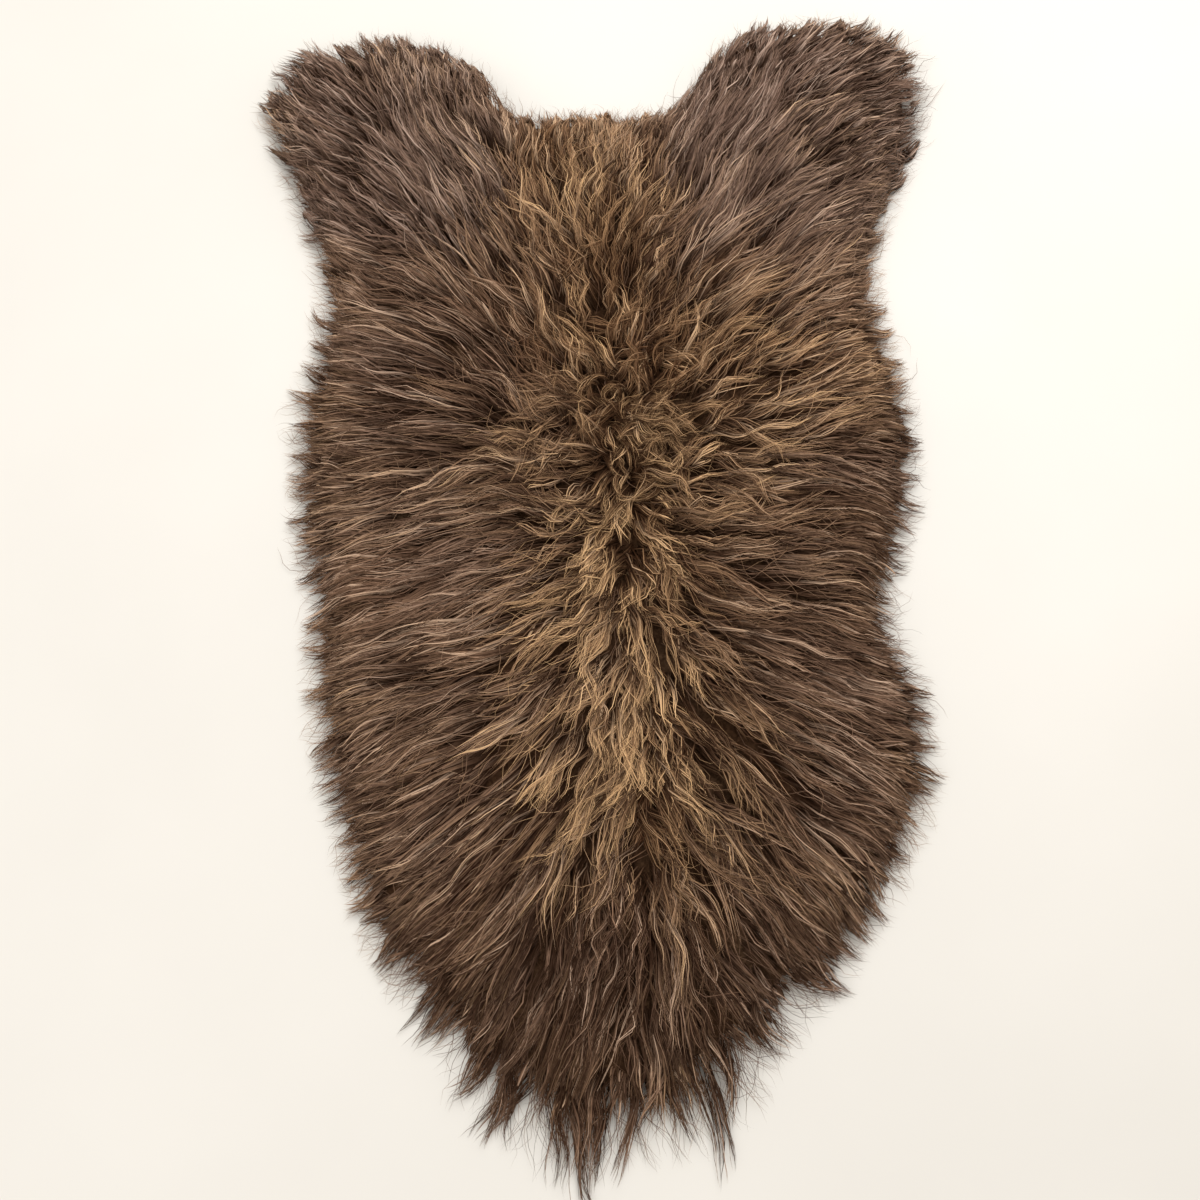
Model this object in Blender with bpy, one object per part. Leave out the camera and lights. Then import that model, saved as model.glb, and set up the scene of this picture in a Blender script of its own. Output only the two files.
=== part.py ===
# A long-wool sheepskin laid out flat on a floor: the tanned skin, and the fleece that grows on it.
#
# The frame is in metres, with +Z up. The floor is at Z = 0 and the origin is the middle of the footprint.
# +Y runs along the back, towards the end with the two leg flaps, and -Y towards the pointed neck end.
# The wool parts along the back and lies outwards from there, so the fleece is built in columns that run
# from the parting to the rim, each ending in a lock that lies on the floor.

from collections import namedtuple
from math import exp, pi

import bmesh
import bpy
from mathutils import Matrix, Vector, noise

SKIN_THICKNESS = 0.002
SKIN_CLEARANCE = 0.0003
SKIN_EDGE_CLEARANCE = 0.001

LOCK_COUNT = 180

# The lying wool keeps its height over the middle and rounds down to the rim. It dips at the parting.
PILE_HEIGHT = 0.060
RIM_HEIGHT = 0.013
RIM_UNEVENNESS = 0.006
PILE_SHOULDER = 3.0
PILE_ROUNDING = 0.6
PARTING_DIP = 0.010
PARTING_DIP_REACH = 0.16

# The wool is lumpy, and each lock is a ridge. Every second lock stands higher by a share of its width.
LUMP_HEIGHT = 0.011
LUMP_SIZE = 0.10
RIDGE_PER_WIDTH = 0.30
RIDGE_LENGTH = 0.35
HIGHER_LOCK = 0.5

# A short step along a column, to find which way it runs.
COLUMN_STEP = 0.02

# How far each ring of the top lies from the parting (0) to the rim (1).
TOP_RINGS = (0.93, 0.84, 0.73, 0.61, 0.48, 0.35, 0.22, 0.10, 0.0)

# The columns' roots are spread along the parting, from its end under the notch to its end in the neck.
PARTING_TOP = 0.300
PARTING_BOTTOM = -0.330
COLUMN_BEND = 0.5

# How much a column turns from the lie of the wool towards square to the rim, so that columns never cross.
TURN_TO_RIM = 0.2

# The parting: wool lies away from these places on the back, more strongly from some than from others.
PartingPlace = namedtuple("PartingPlace", "along across strength")
PARTING_BREADTH = 0.030
PARTING = (
    PartingPlace(0.380, -0.015, 0.2),
    PartingPlace(0.300, -0.010, 0.7),
    PartingPlace(0.220, 0.000, 0.8),
    PartingPlace(0.140, 0.005, 1.5),
    PartingPlace(0.060, 0.015, 2.2),
    PartingPlace(-0.020, 0.020, 1.7),
    PartingPlace(-0.100, 0.022, 1.0),
    PartingPlace(-0.180, 0.024, 0.7),
    PartingPlace(-0.260, 0.026, 0.6),
    PartingPlace(-0.340, 0.028, 0.7),
)

# The rim of the close wool, clockwise from the notch between the leg flaps. overhang is how far the wool
# stands past the skin's edge, and tuft is how far the free tips of the locks lie past the close wool.
RimPlace = namedtuple("RimPlace", "across along overhang tuft")
RIM = (
    RimPlace(0.000, 0.470, 0.045, 0.020),
    RimPlace(0.078, 0.474, 0.045, 0.016),
    RimPlace(0.112, 0.530, 0.045, 0.014),
    RimPlace(0.158, 0.580, 0.048, 0.014),
    RimPlace(0.225, 0.598, 0.052, 0.018),
    RimPlace(0.300, 0.592, 0.060, 0.026),
    RimPlace(0.352, 0.545, 0.065, 0.042),
    RimPlace(0.345, 0.470, 0.062, 0.028),
    RimPlace(0.305, 0.365, 0.055, 0.018),
    RimPlace(0.277, 0.275, 0.058, 0.018),
    RimPlace(0.288, 0.180, 0.065, 0.022),
    RimPlace(0.300, 0.100, 0.070, 0.026),
    RimPlace(0.290, 0.020, 0.070, 0.022),
    RimPlace(0.262, -0.085, 0.072, 0.026),
    RimPlace(0.286, -0.205, 0.080, 0.034),
    RimPlace(0.255, -0.310, 0.080, 0.036),
    RimPlace(0.195, -0.392, 0.080, 0.040),
    RimPlace(0.135, -0.452, 0.080, 0.052),
    RimPlace(0.070, -0.495, 0.085, 0.086),
    RimPlace(0.000, -0.515, 0.090, 0.104),
    RimPlace(-0.060, -0.508, 0.090, 0.092),
    RimPlace(-0.110, -0.475, 0.085, 0.062),
    RimPlace(-0.150, -0.425, 0.080, 0.045),
    RimPlace(-0.198, -0.378, 0.080, 0.034),
    RimPlace(-0.225, -0.300, 0.080, 0.034),
    RimPlace(-0.258, -0.190, 0.080, 0.030),
    RimPlace(-0.264, -0.095, 0.075, 0.028),
    RimPlace(-0.288, 0.010, 0.070, 0.022),
    RimPlace(-0.293, 0.120, 0.070, 0.030),
    RimPlace(-0.276, 0.235, 0.062, 0.022),
    RimPlace(-0.305, 0.340, 0.055, 0.016),
    RimPlace(-0.345, 0.440, 0.058, 0.024),
    RimPlace(-0.360, 0.510, 0.062, 0.034),
    RimPlace(-0.305, 0.563, 0.058, 0.026),
    RimPlace(-0.215, 0.575, 0.050, 0.022),
    RimPlace(-0.130, 0.535, 0.046, 0.018),
    RimPlace(-0.092, 0.475, 0.045, 0.016),
)
RIM_STEPS_BETWEEN_PLACES = 24

# A lock of the rim, from its root to its tip: how far along it is, and its width and height there as
# shares of those at its root.
LockSection = namedtuple("LockSection", "reach width height")
LOCK_SECTIONS = (
    LockSection(0.40, 0.86, 0.75),
    LockSection(0.75, 0.50, 0.45),
    LockSection(1.00, 0.10, 0.16),
)
LOCK_SHORTEST = 0.35
LOCK_LONGEST = 1.25
LOCK_LENGTH_SPREAD = 0.8
LOCK_TURN = 0.22
LOCK_CURL = 0.10

# The traits in which the locks differ from each other, and how unlike two neighbours are.
TRAITS = ("ridge", "rim height", "length", "turn", "curl")
UNLIKENESS = 1.37

WOOL_COLOUR = (0.085, 0.048, 0.030, 1.0)
WOOL_ROUGHNESS = 0.62
SKIN_COLOUR = (0.52, 0.43, 0.33, 1.0)
SKIN_ROUGHNESS = 0.90
WOOL_SHEEN = 0.3
SKIN_SHEEN = 0.1

# A column runs from its root on the parting, by way of bend, to the rim. A lock is drawn out from the rim.
Column = namedtuple("Column", "rim skin_edge root bend tuft")
Lock = namedtuple("Lock", "root half_width height direction length turn curl")


def clear_scene():
    for obj in list(bpy.data.objects):
        bpy.data.objects.remove(obj)


def new_collection(name):
    collection = bpy.data.collections.new(name)
    bpy.context.scene.collection.children.link(collection)
    return collection


def make_material(name, colour, roughness, sheen):
    material = bpy.data.materials.new(name)
    material.use_nodes = True
    shader = material.node_tree.nodes["Principled BSDF"]
    shader.inputs["Base Color"].default_value = colour
    shader.inputs["Roughness"].default_value = roughness
    shader.inputs["Metallic"].default_value = 0.0
    shader.inputs["Sheen Weight"].default_value = sheen
    return material


def lie_of_wool(place):
    """The direction in which the wool lies at a place on the skin: away from the parting."""
    push = Vector((0.0, 0.0))
    for source in PARTING:
        away = place - Vector((source.across, source.along))
        push += source.strength * away / (away.length_squared + PARTING_BREADTH**2)
    return push.normalized()


def parting_across(along):
    """How far across the parting lies at a place along the back."""
    places = sorted(PARTING)
    along = min(max(along, places[0].along), places[-1].along)
    for low, high in zip(places, places[1:]):
        if along <= high.along:
            share = (along - low.along) / (high.along - low.along)
            return low.across + share * (high.across - low.across)
    return places[-1].across


def between(before, start, end, after, share):
    """A value on the Catmull-Rom curve from start to end."""
    return 0.5 * (
        2.0 * start
        + (end - before) * share
        + (2.0 * before - 5.0 * start + 4.0 * end - after) * share**2
        + (3.0 * (start - end) + after - before) * share**3
    )


def smooth_rim():
    """The rim's places joined by a smooth closed curve, as many close points with all their columns."""
    count = len(RIM)
    return [
        RimPlace(
            *(
                between(*values, step / RIM_STEPS_BETWEEN_PLACES)
                for values in zip(RIM[i - 1], RIM[i], RIM[(i + 1) % count], RIM[(i + 2) % count])
            )
        )
        for i in range(count)
        for step in range(RIM_STEPS_BETWEEN_PLACES)
    ]


def evenly_spaced(places, number):
    """number places, the same distance apart along a closed line of places."""
    points = [Vector((place.across, place.along)) for place in places]
    lengths = [(points[(i + 1) % len(points)] - point).length for i, point in enumerate(points)]
    spacing = sum(lengths) / number
    spaced = []
    passed = 0.0
    for i, length in enumerate(lengths):
        while len(spaced) < number and len(spaced) * spacing < passed + length:
            share = (len(spaced) * spacing - passed) / length
            start, end = places[i], places[(i + 1) % len(places)]
            spaced.append(RimPlace(*(a + share * (b - a) for a, b in zip(start, end))))
        passed += length
    return spaced


def square_to(outline, number):
    """The way out of a clockwise outline at one of its points, square to it."""
    along = outline[(number + 1) % len(outline)] - outline[number - 1]
    return Vector((-along.y, along.x)).normalized()


def make_columns():
    """One column of wool for each lock, from the parting to the rim."""
    columns = []
    places = evenly_spaced(smooth_rim(), LOCK_COUNT)
    outline = [Vector((place.across, place.along)) for place in places]
    for number, (place, rim) in enumerate(zip(places, outline)):
        outwards = lie_of_wool(rim)
        arrival = (outwards + TURN_TO_RIM * square_to(outline, number)).normalized()
        from_notch = min(number, LOCK_COUNT - number) / (LOCK_COUNT / 2)
        root_along = PARTING_TOP + (PARTING_BOTTOM - PARTING_TOP) * from_notch
        root = Vector((parting_across(root_along), root_along))
        bend = rim - COLUMN_BEND * (rim - root).length * arrival
        skin_edge = rim - place.overhang * outwards
        columns.append(Column(rim, skin_edge, root, bend, place.tuft))
    return columns


def along_column(column, share):
    """The place at a share of the way from a column's root to the rim."""
    inner = column.root.lerp(column.bend, share)
    outer = column.bend.lerp(column.rim, share)
    return inner.lerp(outer, share)


def unlike(number, trait, along=0.0):
    """How far one lock departs from the rest in a trait, from about -1 to 1, at a share of its length."""
    return noise.noise(Vector((number * UNLIKENESS, along, TRAITS.index(trait) * pi)))


def pile_height(columns, number, share):
    """The height of the lying wool at a place on a column: crowned, lumpy, and ridged by its locks."""
    place = along_column(columns[number], share)
    onwards = along_column(columns[number], share + COLUMN_STEP) - place
    width = abs(onwards.normalized().cross(along_column(columns[number - 1], share) - place))
    crown = (1.0 - share**PILE_SHOULDER) ** PILE_ROUNDING
    dip = PARTING_DIP * exp(-((share / PARTING_DIP_REACH) ** 2))
    lump = LUMP_HEIGHT * noise.noise((place / LUMP_SIZE).to_3d())
    ridge = unlike(number, "ridge", share / RIDGE_LENGTH)
    ridge += HIGHER_LOCK if number % 2 else -HIGHER_LOCK
    rim_height = RIM_HEIGHT + RIM_UNEVENNESS * unlike(number, "rim height")
    above_rim = PILE_HEIGHT - RIM_HEIGHT + lump + RIDGE_PER_WIDTH * width * ridge
    return rim_height + above_rim * crown - dip


def add_skin(columns, collection, material):
    """The tanned skin: a flat outline, filled, as thick as the leather."""
    curve = bpy.data.curves.new("skin", "CURVE")
    curve.dimensions = "2D"
    curve.fill_mode = "BOTH"
    curve.extrude = SKIN_THICKNESS / 2
    outline = curve.splines.new("POLY")
    outline.points.add(len(columns) - 1)
    outline.use_cyclic_u = True
    for point, column in zip(outline.points, columns):
        point.co = (*column.skin_edge, 0.0, 1.0)
    curve.materials.append(material)
    skin = bpy.data.objects.new("skin", curve)
    skin.location.z = SKIN_THICKNESS / 2
    collection.objects.link(skin)


def first_ring(bm, number_of, places):
    """A circle with a point for each column, moved to its places."""
    bmesh.ops.create_circle(bm, segments=len(places), radius=1.0)
    bm.verts.ensure_lookup_table()
    for number, (vert, place) in enumerate(zip(bm.verts, places)):
        vert[number_of] = number
        vert.co = place
    return list(bm.edges)


def next_ring(bm, number_of, edges, places):
    """Extrudes a ring of edges and moves each new point to its column's next place."""
    made = bmesh.ops.extrude_edge_only(bm, edges=edges)["geom"]
    for vert in made:
        if isinstance(vert, bmesh.types.BMVert):
            vert.co = places[vert[number_of]]
    return [edge for edge in made if isinstance(edge, bmesh.types.BMEdge)]


def underside_rings(columns):
    """The fleece's rings from the hollow that takes the skin, down its wall and out to the rim."""
    hollow = Vector((0.0, 0.0, SKIN_THICKNESS + SKIN_CLEARANCE))
    skin_outline = [column.skin_edge for column in columns]
    wall = [
        (place + SKIN_EDGE_CLEARANCE * square_to(skin_outline, number)).to_3d()
        for number, place in enumerate(skin_outline)
    ]
    return [place + hollow for place in wall], wall, [column.rim.to_3d() for column in columns]


def top_rings(columns):
    """The fleece's rings from the top of the rim up to the parting."""
    return [
        [
            Vector((*along_column(column, share), pile_height(columns, number, share)))
            for number, column in enumerate(columns)
        ]
        for share in (1.0, *TOP_RINGS)
    ]


def join_along_parting(bm, number_of, edges):
    """Joins each column's last point to that of the column opposite, which has the same root."""
    ends = {vert[number_of]: vert for edge in edges for vert in edge.verts}
    count = len(ends)
    joined = {ends[count - number]: ends[number] for number in range(1, (count + 1) // 2)}
    bmesh.ops.weld_verts(bm, targetmap=joined)


def make_lock(columns, number):
    """The free lock between the rim end of a column and that of the next."""
    following = (number + 1) % len(columns)
    left, right = columns[number].rim, columns[following].rim
    root = (left + right) / 2
    height = (pile_height(columns, number, 1.0) + pile_height(columns, following, 1.0)) / 2
    long = min(max(0.5 + LOCK_LENGTH_SPREAD * unlike(number, "length"), 0.0), 1.0)
    length = columns[number].tuft * (LOCK_SHORTEST + (LOCK_LONGEST - LOCK_SHORTEST) * long)
    turn = LOCK_TURN * unlike(number, "turn")
    curl = LOCK_CURL * unlike(number, "curl")
    return Lock(root, (right - left) / 2, height, lie_of_wool(root), length, turn, curl)


def lock_number(face, number_of, count):
    """The number of the lock that a face of the rim belongs to: that of the first of its two columns."""
    numbers = sorted({vert[number_of] for vert in face.verts})
    return count - 1 if numbers == [0, count - 1] else numbers[0]


def draw_out_locks(bm, walls, columns, number_of):
    """Draws each face of the rim out to a lock of its own, tapering and lying on the floor."""
    locks = [make_lock(columns, number) for number in range(len(columns))]
    for section in LOCK_SECTIONS:
        walls = bmesh.ops.extrude_discrete_faces(bm, faces=walls)["faces"]
        for face in walls:
            number = lock_number(face, number_of, len(columns))
            lock = locks[number]
            onwards = lock.direction.copy()
            onwards.rotate(Matrix.Rotation(lock.turn + lock.curl * section.reach, 2))
            centre = lock.root + onwards * section.reach * lock.length
            side = lock.half_width * section.width
            for vert in face.verts:
                place = centre - side if vert[number_of] == number else centre + side
                height = lock.height * section.height if vert.co.z > 0.0 else 0.0
                vert.co = (*place, height)


def add_fleece(columns, collection, material):
    """The wool: a lumpy slab with a hollow for the skin below it, and a rim of locks."""
    bm = bmesh.new()
    number_of = bm.verts.layers.int.new("column")
    hollow_ring, *under = underside_rings(columns)
    rim_top, *top = top_rings(columns)
    hollow = first_ring(bm, number_of, hollow_ring)
    edges = hollow
    for places in under:
        edges = next_ring(bm, number_of, edges, places)
    underside = set(bm.faces)
    edges = next_ring(bm, number_of, edges, rim_top)
    walls = [face for face in bm.faces if face not in underside]
    for places in top:
        edges = next_ring(bm, number_of, edges, places)
    join_along_parting(bm, number_of, edges)
    bmesh.ops.contextual_create(bm, geom=hollow)
    bmesh.ops.recalc_face_normals(bm, faces=bm.faces)
    draw_out_locks(bm, walls, columns, number_of)
    bmesh.ops.recalc_face_normals(bm, faces=bm.faces)
    mesh = bpy.data.meshes.new("fleece")
    bm.to_mesh(mesh)
    bm.free()
    mesh.materials.append(material)
    mesh.shade_smooth()
    collection.objects.link(bpy.data.objects.new("fleece", mesh))


def main():
    clear_scene()
    sheepskin = new_collection("sheepskin")
    wool = make_material("wool", WOOL_COLOUR, WOOL_ROUGHNESS, WOOL_SHEEN)
    leather = make_material("leather", SKIN_COLOUR, SKIN_ROUGHNESS, SKIN_SHEEN)
    columns = make_columns()
    add_skin(columns, sheepskin, leather)
    add_fleece(columns, sheepskin, wool)


main()
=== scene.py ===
# %% [markdown]
# # A long-wool sheepskin, laid out flat
#
# The real thing is one tanned skin with the wool still on it. The wool is 10 to 15 cm long and lies down
# away from a parting along the back, so all that shows is a coat of wavy, pointed locks of fine fibres.
# The imported model gives two solids in their true places: the skin, and the fleece as a lumpy slab.
# Here the skin becomes a piece of suede, and the slab becomes a woolly ground, dark with painted shade,
# with some 70,000 strands lying on it. All lengths are in metres.

# %% Load the imported model
from math import pi, radians

import bpy
import numpy as np
from mathutils import Matrix, Vector, kdtree
from mathutils.bvhtree import BVHTree


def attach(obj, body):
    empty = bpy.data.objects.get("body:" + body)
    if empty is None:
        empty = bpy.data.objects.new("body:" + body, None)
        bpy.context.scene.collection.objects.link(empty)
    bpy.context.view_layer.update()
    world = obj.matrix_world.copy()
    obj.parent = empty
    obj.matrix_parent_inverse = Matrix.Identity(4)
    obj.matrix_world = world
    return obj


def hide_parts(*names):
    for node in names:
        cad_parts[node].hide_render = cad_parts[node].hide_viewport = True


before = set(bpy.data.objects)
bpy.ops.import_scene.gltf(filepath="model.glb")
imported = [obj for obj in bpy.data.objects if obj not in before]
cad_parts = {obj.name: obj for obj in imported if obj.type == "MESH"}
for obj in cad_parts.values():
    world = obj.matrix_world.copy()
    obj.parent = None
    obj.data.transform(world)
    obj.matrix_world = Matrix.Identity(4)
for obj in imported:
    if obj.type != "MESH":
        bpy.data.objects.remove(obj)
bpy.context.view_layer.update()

# %% [markdown]
# ## The camera
#
# The picture was taken from above by someone who stood at the neck end and leant the camera forward by
# 16 degrees. Its place was worked out, not guessed, so the model and the picture have the same
# perspective. The rotation is built up as one would turn a real camera: roll it, tilt it, and then turn
# on the spot. The Standard view shows colours as they are, without the softened contrast of Blender's
# default film look.

# %% Place the camera
CAMERA_PLACE = (-0.0156, -0.3833, 1.0914)
CAMERA_TILT = radians(16.0)
CAMERA_ROLL = radians(1.146)
CAMERA_TURN = radians(-1.811)
FOCAL_LENGTH_MM = 34.86
SENSOR_MM = 36.0

turned = (
    Matrix.Rotation(CAMERA_TURN, 3, "Z")
    @ Matrix.Rotation(CAMERA_TILT, 3, "X")
    @ Matrix.Rotation(CAMERA_ROLL, 3, "Z")
)
bpy.ops.object.camera_add(location=CAMERA_PLACE, rotation=turned.to_euler())
camera = bpy.context.object
camera.data.lens = FOCAL_LENGTH_MM
camera.data.sensor_width = SENSOR_MM
camera.data.clip_start = 0.01
bpy.context.scene.camera = camera
bpy.context.scene.view_settings.view_transform = "Standard"
print("camera at", CAMERA_PLACE, "with a lens of", FOCAL_LENGTH_MM, "mm")

# %% [markdown]
# ## Nodes in a few words
#
# Every finish below is a small network of shader nodes. Short helpers keep such a network readable: one
# adds a node and fills in its settings and inputs, and the others add the few kinds that come up often.


# %% Helpers for shader nodes
def add_node(tree, kind, inputs=None, **settings):
    """A new node of a kind, with its settings and its inputs, each a value or a socket to link."""
    node = tree.nodes.new(kind)
    for name, value in settings.items():
        setattr(node, name, value)
    for socket, value in (inputs or {}).items():
        if isinstance(value, bpy.types.NodeSocket):
            tree.links.new(value, node.inputs[socket])
        else:
            node.inputs[socket].default_value = value
    return node


def place_on(tree):
    """Where a point is on the object."""
    return add_node(tree, "ShaderNodeTexCoord").outputs["Object"]


def noise(tree, place, scale, detail, **more):
    """Soft chance values from 0 to 1."""
    inputs = {"Vector": place, "Scale": scale, "Detail": detail, **more}
    return add_node(tree, "ShaderNodeTexNoise", inputs).outputs["Fac"]


def mixed(tree, share, first, second):
    """A colour between two others."""
    inputs = {"Factor": share, 6: first, 7: second}
    return add_node(tree, "ShaderNodeMix", inputs, data_type="RGBA").outputs[2]


def ranged(tree, value, low, high):
    """A value from 0 to 1, brought to the range from low to high."""
    inputs = {"Value": value, "To Min": low, "To Max": high}
    return add_node(tree, "ShaderNodeMapRange", inputs).outputs[0]


def relief(tree, height, distance, strength):
    """The normals of a surface with a fine relief."""
    inputs = {"Height": height, "Distance": distance, "Strength": strength}
    return add_node(tree, "ShaderNodeBump", inputs).outputs["Normal"]


def feed(tree, node, **sources):
    """Links a source to each input of a node that is named, with _ for a space."""
    for socket, source in sources.items():
        tree.links.new(source, node.inputs[socket.replace("_", " ")])


def new_material(name, **constants):
    """A material with its Principled shader, and with what is the same all over set on that shader."""
    material = bpy.data.materials.new(name)
    material.use_nodes = True
    shader = material.node_tree.nodes["Principled BSDF"]
    for socket, value in constants.items():
        shader.inputs[socket.replace("_", " ")].default_value = value
    return material, material.node_tree, shader

# %% [markdown]
# ## Floor and light
#
# The floor is a plain pale sheet. A perfectly even colour looks like nothing at all, so it gets a faint
# mottling, as a painted board has. The light is soft: one wide lamp behind the leg flaps, a wider, weaker
# one at the near side, and a bright sky all round, so that the dark wool still shows its locks.

# %% Lay the floor
bpy.ops.mesh.primitive_plane_add(size=14.0, location=(0.0, 0.0, 0.0))
floor = bpy.context.object
floor.name = "floor"
paint, tree, shader = new_material("pale floor", Roughness=0.62)
mottle = noise(tree, place_on(tree), 3.0, 6.0)
tint = mixed(tree, mottle, (0.70, 0.67, 0.62, 1.0), (0.78, 0.75, 0.70, 1.0))
feed(tree, shader, Base_Color=tint)
floor.data.materials.append(paint)
print("floor laid")

# %% Hang the lamps
LAMPS = (
    # place, width, watts
    ((0.7, 1.5, 2.4), 2.0, 68.0),
    ((-1.7, -0.9, 2.2), 2.2, 27.0),
)
for lamp_place, width, watts in LAMPS:
    aim = (-Vector(lamp_place)).to_track_quat("-Z", "Y").to_euler()
    bpy.ops.object.light_add(type="AREA", location=lamp_place, rotation=aim)
    lamp = bpy.context.object
    lamp.data.size = width
    lamp.data.energy = watts
world = bpy.data.worlds.new("soft sky")
world.use_nodes = True
sky = world.node_tree.nodes["Background"]
sky.inputs["Color"].default_value = (1.0, 0.96, 0.90, 1.0)
sky.inputs["Strength"].default_value = 0.58
bpy.context.scene.world = world
print(len(LAMPS), "lamps and a sky")

# %% [markdown]
# ## The tanned skin
#
# Under the wool is the skin itself, 2 mm thick, with a cut edge. It could be drawn again, but its solid
# already has the true outline, so a copy of that is merged, its flat faces are dissolved into one above
# and one below, and its edge is rounded with a bevel, because a blade and years of handling leave no
# sharp edge on suede.


# %% Helpers for edit mode
def edit_all():
    """Goes into edit mode with everything selected."""
    bpy.ops.object.mode_set(mode="EDIT")
    bpy.ops.mesh.select_all(action="SELECT")


def select_nothing():
    """Deselects everything in edit mode."""
    bpy.ops.mesh.select_all(action="DESELECT")


def leave_edit():
    """Goes back to object mode."""
    bpy.ops.object.mode_set(mode="OBJECT")


# %% Copy the skin's solid
bpy.ops.object.select_all(action="DESELECT")
hide = bpy.data.objects.new("hide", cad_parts["skin"].data.copy())
hide.data.name = "hide"
hide.data.materials.clear()
bpy.context.scene.collection.objects.link(hide)
bpy.context.view_layer.objects.active = hide
hide.select_set(True)
print("copied", len(hide.data.polygons), "faces")

# %% Merge its faces and round its edge
EDGE_ROUNDING = 0.0006

edit_all()
bpy.ops.mesh.remove_doubles(threshold=1e-5)
bpy.ops.mesh.dissolve_limited(angle_limit=radians(1.0))
select_nothing()
bpy.ops.mesh.edges_select_sharp(sharpness=radians(40.0))
bpy.ops.mesh.bevel(offset=EDGE_ROUNDING, segments=2)
bpy.ops.mesh.select_all(action="SELECT")
bpy.ops.mesh.quads_convert_to_tris(ngon_method="BEAUTY")
leave_edit()
bpy.ops.object.shade_smooth_by_angle(angle=radians(35.0))
print("hide:", len(hide.data.polygons), "faces")

# %% [markdown]
# ## Suede
#
# The flesh side of a tanned skin is suede: a warm cream that is blotchy at the scale of a hand, with a
# nap of fibres half a millimetre long. Two noises give the blotches and the nap. Where the nap is low,
# the colour is darker: painted shade between the fibres. The nap goes to a Bump node, which is right
# here, because nobody could see such short fibres as shapes.

# %% Make the suede
SHEEN_TINT = (1.0, 0.93, 0.84, 1.0)
DARK_CREAM, PALE_CREAM = (0.36, 0.27, 0.18, 1.0), (0.66, 0.56, 0.43, 1.0)
SHADE_BETWEEN_FIBRES = (0.28, 0.21, 0.14, 1.0)
NAP_DEPTH = 0.0005

suede, tree, shader = new_material("suede", Sheen_Weight=0.25, Sheen_Roughness=0.6, Sheen_Tint=SHEEN_TINT)
place = place_on(tree)
blotches = noise(tree, place, 9.0, 5.0, Roughness=0.6)
nap = noise(tree, place, 900.0, 3.0)
cream = mixed(tree, blotches, DARK_CREAM, PALE_CREAM)
feed(
    tree,
    shader,
    # Darker where the nap is low: painted shade between the fibres.
    Base_Color=mixed(tree, nap, SHADE_BETWEEN_FIBRES, cream),
    Roughness=ranged(tree, blotches, 0.95, 0.8),
    Normal=relief(tree, nap, NAP_DEPTH, 0.6),
)
hide.data.materials.append(suede)
print("suede:", len(tree.nodes), "nodes")

# %% [markdown]
# ## Maps of the fleece
#
# Each strand has to know how high the fleece is where it lies, and how far it is from the rim. So the
# solids are probed from above at the points of a fine grid: a ray that falls on a solid gives its height
# there, and the nearest point where the rays start to miss gives the distance to its edge.
#
# Two edges matter. The rim is as far as the solid's locks reach, drawn as one smooth line. The close edge
# lies further in, where the wool is still thick enough to hide the floor. Between them is the fringe.

# %% Probe the solids from above
PROBE_STEP = 0.004
PROBE_FROM = np.array((-0.46, -0.70))
PROBE_COUNT = (231, 351)


def probe_from_above(node):
    """The height of a solid at each point of the grid, and 0 beside it."""
    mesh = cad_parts[node].data
    corners = [vertex.co for vertex in mesh.vertices]
    tree = BVHTree.FromPolygons(corners, [face.vertices[:] for face in mesh.polygons])
    heights = np.zeros(PROBE_COUNT)
    for column in range(PROBE_COUNT[0]):
        for row in range(PROBE_COUNT[1]):
            across, along = PROBE_FROM + PROBE_STEP * np.array((column, row))
            hit = tree.ray_cast(Vector((across, along, 1.0)), Vector((0.0, 0.0, -1.0)))[0]
            if hit:
                heights[column, row] = hit.z
    return heights


fleece_height = probe_from_above("fleece")
skin_height = probe_from_above("skin")
print("fleece covers", round((fleece_height > 0).sum() * PROBE_STEP**2, 3), "square metres")


# %% Smooth the heights
def smoothed(field, times):
    """A field with each value the mean of itself and its neighbours, several times over."""
    for _ in range(times):
        beside = np.roll(field, 1, 0) + np.roll(field, -1, 0)
        above = np.roll(field, 1, 1) + np.roll(field, -1, 1)
        field = (2.0 * field + beside + above) / 6.0
    return field


soft_height = smoothed(fleece_height, 6)
near_skin = smoothed((skin_height > 0).astype(float), 10)
print("mean height", round(soft_height[fleece_height > 0].mean(), 4), "m")

# %% Measure to the rim and to the close edge
REACH_OF_RIM = 0.36
CLOSE_HEIGHT = 0.0130
CLOSE_HEIGHT_AT_ENDS = 0.0250


def distance_to_edge(region):
    """How far each point is inside a region's edge, or outside it as a negative distance."""
    edge = np.argwhere(region & (smoothed(region.astype(float), 1) < 0.99))
    tree = kdtree.KDTree(len(edge))
    for number, cell in enumerate(edge):
        tree.insert((*cell, 0.0), number)
    tree.balance()
    distance = np.zeros(PROBE_COUNT)
    for column in range(PROBE_COUNT[0]):
        for row in range(PROBE_COUNT[1]):
            distance[column, row] = tree.find((column, row, 0.0))[2]
    return PROBE_STEP * np.where(region, distance, -distance)


from_rim = distance_to_edge(smoothed((fleece_height > 0).astype(float), 14) > REACH_OF_RIM)
probe_along = PROBE_FROM[1] + PROBE_STEP * np.arange(PROBE_COUNT[1])
at_leg_ends = np.clip((probe_along - 0.46) / 0.05, 0.0, 1.0)
least_close = CLOSE_HEIGHT + (CLOSE_HEIGHT_AT_ENDS - CLOSE_HEIGHT) * at_leg_ends
from_close_edge = distance_to_edge(smoothed(fleece_height, 5) > least_close)
print("deepest place inside the rim:", round(from_rim.max(), 3), "m")


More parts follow.
